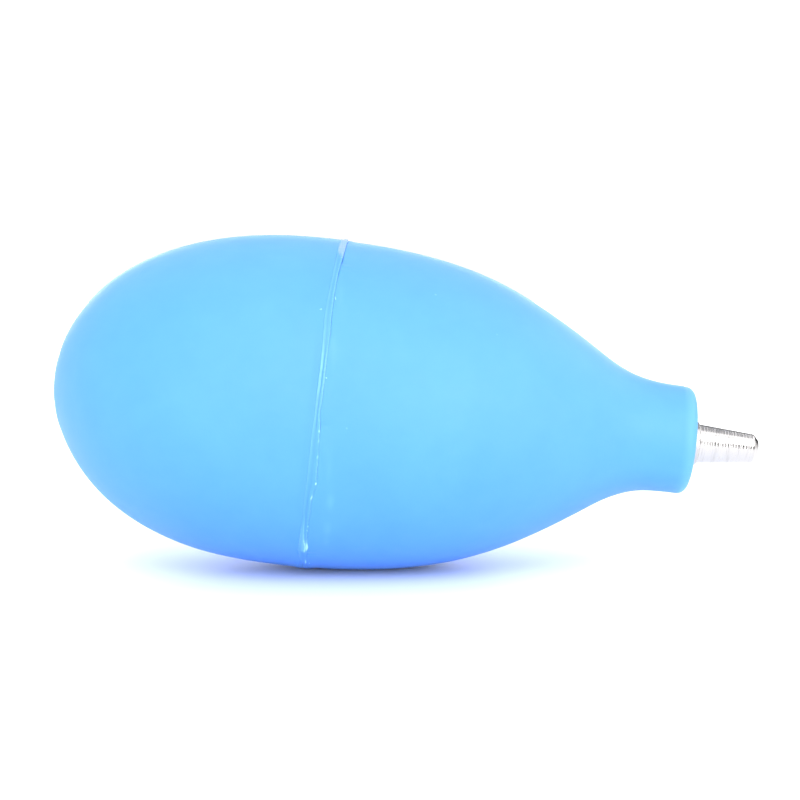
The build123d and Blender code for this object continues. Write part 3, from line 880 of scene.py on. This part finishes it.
# --------------------------------------------------------------------- nozzle
def nozzle():
    nc = 200
    ph = phis(nc)
    rng = np.random.default_rng(7)
    rows = []

    def row(s, r):
        outside = 0.05 * (s > 87.9) * (1 - smooth(s, 95.7, 96.25)) * (r > 1.2)
        rows.append(put(s, r + outside, ph, NOZZLE_DROP + NOZZLE_HANG * smooth(s, 86.2, 86.75)
                        * (r > 0.95)))

    tip, bore_r = NOZZLE_TIP, 0.80
    # barbed shank, inside the neck
    row(74.2, bore_r + 0.45)
    row(74.2, 2.30)
    row(74.25, 2.42)
    row(74.55, 2.75)
    for k in range(3):
        b = 75.8 + k * 3.2
        for s, r in [(b, 2.75), (b + 1.7, 3.13), (b + 1.75, 3.15), (b + 2.0, 3.15),
                     (b + 2.02, 3.12), (b + 2.03, 2.77), (b + 2.06, 2.75)]:
            row(s, r)
    for s in (84.6, 85.6, 86.4, 86.75):
        row(s, 2.75)
    # collar with broken edges
    for s, r in [(86.80, 2.78), (86.80, 2.84), (86.82, 2.92), (86.88, 2.95), (87.15, 2.95),
                 (87.45, 2.948), (87.72, 2.95), (87.87, 2.945), (87.95, 2.915), (88.00, 2.85),
                 (88.02, 2.76), (88.03, 2.67), (88.10, 2.625)]:
        row(s, r)
    # the taper, with the rings that the tool left
    s = 88.17
    marks = []
    while s < 95.55:
        marks.append(s)
        s += rng.uniform(0.030, 0.060)
    marks = np.array(marks)
    ring = np.zeros_like(marks)
    for pitch, amp in ((0.36, 0.0036), (0.49, 0.0030), (0.22, 0.0018)):
        ring += amp * np.sin(2 * math.pi * marks / pitch + rng.uniform(0, 6.28))
    ring += 0.0010 * rng.standard_normal(len(marks))
    for c in (89.3, 90.9, 92.2, 93.05, 94.3, 94.9):
        ring -= 0.0025 * np.exp(-((marks - c) / 0.06) ** 2)
    for m, w in zip(marks, ring):
        r0 = 2.62 + (1.93 - 2.62) * (m - 88.2) / (95.62 - 88.2)
        scratch = 0.0012 * ring_noise(ph, 3, 30, int(m * 1000))
        row(m, r0 + w + scratch)
    for s, r in [(95.58, 1.932), (95.63, 1.915), (95.70, 1.86), (96.0, 1.56), (96.22, 1.335),
                 (96.27, 1.28), (96.30, 1.22), (96.30, 1.05), (96.30, 0.90), (96.27, 0.84),
                 (96.20, 0.805), (95.9, 0.80), (92.0, 0.80), (85.0, 0.80), (74.7, 0.80),
                 (74.45, 0.95)]:
        row(s, r)
    obj = grid_mesh("nozzle_turned", rows, loop=True)
    obj.data.materials.append(aluminium)
    outward(obj)
    return obj


# ----------------------------------------------------------- rear inlet valve
def valve_body():
    ph = phis(128)
    rows = []

    def row(s, r):
        rows.append(put(s, r, ph))

    face = 0.70
    for k, r in enumerate(np.linspace(1.98, 2.90, 24)):        # faced end, tool rings
        row(face + 0.006 * math.sin(k * 2.1), r)
    for s, r in [(0.71, 2.97), (0.76, 3.05), (0.98, 3.27), (1.04, 3.29), (1.9, 3.29),
                 (1.99, 3.29), (2.01, 3.70), (2.05, 3.73), (2.3, 3.73), (3.3, 3.29),
                 (3.59, 3.29), (3.61, 3.70), (3.65, 3.73), (3.9, 3.73), (4.9, 3.29),
                 (5.27, 3.29), (5.31, 3.35), (5.31, 4.90), (5.36, 4.98), (5.45, 5.0),
                 (5.98, 5.0), (6.06, 4.96), (6.10, 4.88), (6.10, 3.36), (6.14, 3.30),
                 (9.05, 3.30), (9.12, 3.28), (9.36, 3.04), (9.40, 2.97), (9.40, 2.50),
                 (9.36, 2.42), (9.25, 2.40), (6.0, 2.40), (3.35, 2.40), (3.28, 2.38),
                 (2.82, 2.30), (2.80, 2.26), (2.80, 1.90), (2.84, 1.86), (3.28, 1.62),
                 (3.30, 1.59), (3.30, 1.28), (3.28, 1.24), (3.05, 1.11), (2.9, 1.10),
                 (1.7, 1.10), (1.58, 1.11), (1.52, 1.15), (0.78, 1.88), (0.72, 1.93)]:
        row(s, r)
    obj = grid_mesh("valve_body_turned", rows, loop=True)
    obj.data.materials.append(valve_metal)
    outward(obj)
    return obj


def valve_spring():
    """Round wire coil with its end turns closed up, between disc and retainer."""
    wire, coil_r, turns = 0.13, 1.45, 5.2
    s0, s1 = 4.22 + wire + 0.03, 8.30 - wire - 0.005
    n, m = 260, 10
    t = np.linspace(0, 1, n)
    # closed end turns: the pitch is small at both ends
    rise = np.interp(t, [0, 0.14, 0.86, 1], [0, 0.055, 0.945, 1])
    rise = np.convolve(np.pad(rise, 8, "edge"), np.ones(17) / 17, "valid")
    rise = (rise - rise[0]) / (rise[-1] - rise[0])
    a = 2 * math.pi * turns * t
    line = put(s0 + (s1 - s0) * rise, coil_r, a)
    tan = np.gradient(line, axis=0)
    tan /= np.linalg.norm(tan, axis=1)[:, None]
    rad = (np.cos(a)[:, None] * up + np.sin(a)[:, None] * near)
    rad -= (rad * tan).sum(1)[:, None] * tan
    rad /= np.linalg.norm(rad, axis=1)[:, None]
    bi = np.cross(tan, rad)
    b = np.linspace(0, 2 * math.pi, m, endpoint=False)
    rows = line[:, None, :] + wire * MM * (np.cos(b)[None, :, None] * rad[:, None, :]
                                           + np.sin(b)[None, :, None] * bi[:, None, :])
    obj = grid_mesh("valve_spring_coil", rows, loop=False, cap_first=True, cap_last=True)
    obj.data.materials.append(spring_metal)
    outward(obj)
    return obj


# ------------------------------------------------------------------- assembly
def on_axis(s, r=0.0, deg=0.0):
    return tuple(put(s, r, math.radians(deg)))


rear = rear_shell()
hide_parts("rear_shell")
on_axis(SEAM_S - 3.6)
on_axis(10.0)
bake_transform(rear)

front = front_shell()
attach(front, "bulb_front")
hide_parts("front_shell")

bead = seam_bead()
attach(bead, "bulb_front")
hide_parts("seam_cement")

specks = [
    # (s, degrees round, size, height, stretch round the ring)
    (37.36, 47.2, 0.12, 0.13, 4.0), (37.30, 75.9, 0.20, 0.16, 1.2),
    (37.22, 52.3, 0.08, 0.12, 4.0), (35.70, 52.4, 0.12, 0.05, 1.3),
    (37.05, 89.5, 0.08, 0.04, 1.5), (36.95, 155.0, 0.12, 0.05, 1.8),
    (37.62, 200.0, 0.13, 0.05, 1.0), (37.45, 262.0, 0.10, 0.04, 1.7),
    (37.80, 318.0, 0.12, 0.05, 1.2),
]
specks = [(s + SEAM_LEAN * SEAM_R * math.cos(math.radians(d)) * (1 if s > 37.4 else 0), d, a, b, c)
          for s, d, a, b, c in specks]
drops = blob("cement_specks_front", specks, 5)
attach(drops, "bulb_front")

tip = nozzle()
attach(tip, "bulb_front")
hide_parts("nozzle")

body = valve_body()
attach(body, "bulb_rear")
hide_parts("valve_body")

coil = valve_spring()
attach(coil, "bulb_rear")
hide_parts("valve_spring")
on_axis(8.30)
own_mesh(coil)

for node, mat in (("valve_retainer", valve_metal), ("valve_disc", disc_rubber)):
    o = frame["nodes"][node]
    o.data.materials.clear()
    o.data.materials.append(mat)

# ---------------------------------------------------------------------- studio
def plain(name, colour, rough=0.8):
    mat, nt, bsdf, vec = nodes_of(name)
    mottle = noise(nt, vec, 3.0, 2, 0.5)
    nt.links.new(mix(nt, mottle, colour, tuple(min(1, c * 1.01) for c in colour)),
                 bsdf.inputs["Base Color"])
    bsdf.inputs["Roughness"].default_value = rough
    bsdf.inputs["Specular IOR Level"].default_value = 0.2
    return mat


floor_mesh = bpy.data.meshes.new("studio_floor")
e = 3.0
floor_mesh.from_pydata([(-e, -e, 0), (e, -e, 0), (e, e, 0), (-e, e, 0)], [], [(0, 1, 2, 3)])
floor = bpy.data.objects.new("studio_floor", floor_mesh)
bpy.context.scene.collection.objects.link(floor)
floor.data.materials.append(plain("studio_white", (0.93, 0.943, 0.96)))

world = bpy.data.worlds.new("studio")
bpy.context.scene.world = world
world.use_nodes = True
bg = world.node_tree.nodes["Background"]
bg.inputs[0].default_value = (1, 1, 1, 1)
bg.inputs[1].default_value = 1.134


def area(name, place, target, size, power, colour=(1, 1, 1)):
    light = bpy.data.lights.new(name, "AREA")
    light.shape = "RECTANGLE"
    light.size, light.size_y = size
    light.energy = power
    light.color = colour
    o = bpy.data.objects.new(name, light)
    bpy.context.scene.collection.objects.link(o)
    o.location = place
    o.visible_camera = False
    direction = Vector(target) - Vector(place)
    o.rotation_euler = direction.to_track_quat("-Z", "Y").to_euler()
    return o


area("softbox_top", (0.02, -0.12, 0.60), (0, 0, 0.02), (0.70, 0.60), 0.79)
area("softbox_high", (0.0, -0.60, 0.55), (0, 0, 0.02), (0.60, 0.40), 2.01)
area("fill_front", (0.0, -0.80, 0.15), (0, 0, 0.02), (0.70, 0.28), 1.69)
area("fill_left", (-0.60, -0.50, 0.20), (0, 0, 0.02), (0.40, 0.38), 0.54)
area("fill_right", (0.60, -0.50, 0.20), (0, 0, 0.02), (0.40, 0.38), 1.05)
area("back_top", (0.0, 0.60, 0.50), (0, 0, 0.02), (0.60, 0.40), 0.365)
area("backdrop_glow", (0.0, 0.80, 0.15), (0, 0, 0.02), (0.90, 0.28), 5.75)


def flag(name, centre, facing, width, height, grey=0.02, glow=0.0):
    """A card, dark or lit, that only reflections see."""
    c, f = Vector(centre), Vector(facing)
    n = (f - c).normalized()
    side = n.cross(Vector((0, 0, 1)))
    side = side.normalized() if side.length > 1e-6 else Vector((1, 0, 0))
    top = side.cross(n)
    pts = [c + side * (a * width / 2) + top * (b * height / 2)
           for a, b in ((-1, -1), (1, -1), (1, 1), (-1, 1))]
    mesh = bpy.data.meshes.new(name)
    mesh.from_pydata([tuple(p) for p in pts], [], [(0, 1, 2, 3)])
    o = bpy.data.objects.new(name, mesh)
    bpy.context.scene.collection.objects.link(o)
    o.data.materials.append(plain(name, (grey, grey, grey), 0.9))
    if glow:
        card = o.data.materials[0].node_tree.nodes["Principled BSDF"]
        card.inputs["Emission Color"].default_value = (1, 1, 1, 1)
        card.inputs["Emission Strength"].default_value = glow
    o.visible_camera = o.visible_diffuse = o.visible_shadow = False
    o.visible_transmission = False
    return o


nozzle_mid = tuple((nozzle_tip - axis * 4.5) * MM)
flag("card_over", (nozzle_mid[0] - 0.0165, 0.0435, nozzle_mid[2] + 0.068), nozzle_mid,
     0.120, 0.140, 0.33)
flag("flag_low", (nozzle_mid[0] + 0.004, 0.058, nozzle_mid[2] + 0.0105), nozzle_mid,
     0.110, 0.045, 0.05)
flag("flag_tip", (nozzle_mid[0] + 0.043, 0.050, nozzle_mid[2] + 0.015), nozzle_mid,
     0.066, 0.052, 0.02)
flag("flag_front", (nozzle_mid[0] + 0.096, -0.112, nozzle_mid[2] + 0.026), nozzle_mid,
     0.118, 0.066, 0.02)
flag("glow_side", (nozzle_mid[0] + 0.215, -0.275, nozzle_mid[2] + 0.150), nozzle_mid,
     0.330, 0.440, 0.5, 2.1)
flag("glow_over", (nozzle_mid[0] + 0.135, 0.090, nozzle_mid[2] + 0.150), nozzle_mid,
     0.190, 0.240, 0.5, 1.5)

# ---------------------------------------------------------------------- camera
cam_data = bpy.data.cameras.new("camera")
cam = bpy.data.objects.new("camera", cam_data)
bpy.context.scene.collection.objects.link(cam)
look = Vector((-0.00105, 0.0, 0.02299))
distance, lift = 0.260, math.radians(5.5)
cam.location = look + Vector((0, -math.cos(lift), math.sin(lift))) * distance
cam.rotation_euler = (look - cam.location).to_track_quat("-Z", "Y").to_euler()
cam_data.sensor_fit = "HORIZONTAL"
cam_data.sensor_width = 36.0
cam_data.lens = 36.0 * distance / 0.109488
cam_data.clip_start = 0.01
cam_data.clip_end = 20
bpy.context.scene.camera = cam
bpy.context.scene.view_settings.view_transform = "Standard"
